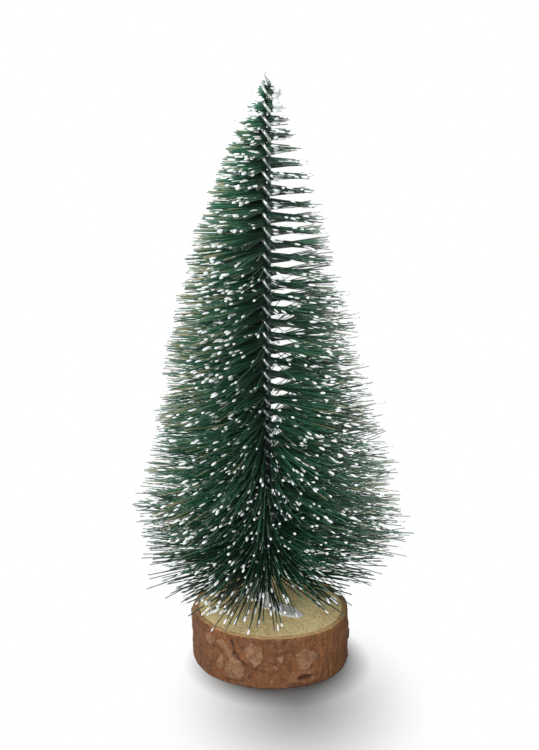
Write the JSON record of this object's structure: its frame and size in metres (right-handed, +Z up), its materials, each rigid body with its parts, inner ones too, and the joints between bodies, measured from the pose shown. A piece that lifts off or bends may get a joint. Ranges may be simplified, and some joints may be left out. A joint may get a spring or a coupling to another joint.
{
  "type": "artificial tabletop tree",
  "caption": "Bottle-brush tabletop tree: green filament pinched in a stem of two twisted wires, glued upright into a round bark-edged log slice. Decorates a table or shelf.",
  "frame": {"origin": "on the underside of the log slice, straight below the stem's axis", "axes": "+Z up along the stem; -Y is the side that the picture shows"},
  "size_m": [0.091, 0.0925, 0.2002],
  "materials": {
    "sawn_wood": "rough-sawn end grain",
    "bark": "natural flaky bark",
    "hot_melt_glue": "milky, glossy",
    "lacquered_wire": "drawn steel under clear lacquer",
    "green_filament": "satin filament with white flocked tips"
  },
  "bodies": {
    "root": {"log_slice_core": "sawn_wood", "bark_ring": "bark", "glue_puddle": "hot_melt_glue", "stem_wire_a": "lacquered_wire", "stem_wire_b": "lacquered_wire", "bristle_turn_01": "green_filament", "bristle_turn_02": "green_filament", "bristle_turn_03": "green_filament", "bristle_turn_04": "green_filament", "bristle_turn_05": "green_filament", "bristle_turn_06": "green_filament", "bristle_turn_07": "green_filament", "bristle_turn_08": "green_filament", "bristle_turn_09": "green_filament", "bristle_turn_10": "green_filament", "bristle_turn_11": "green_filament", "bristle_turn_12": "green_filament", "bristle_turn_13": "green_filament", "bristle_turn_14": "green_filament", "bristle_turn_15": "green_filament", "bristle_turn_16": "green_filament", "bristle_turn_17": "green_filament", "bristle_turn_18": "green_filament", "bristle_turn_19": "green_filament"}
  },
  "joints": []
}
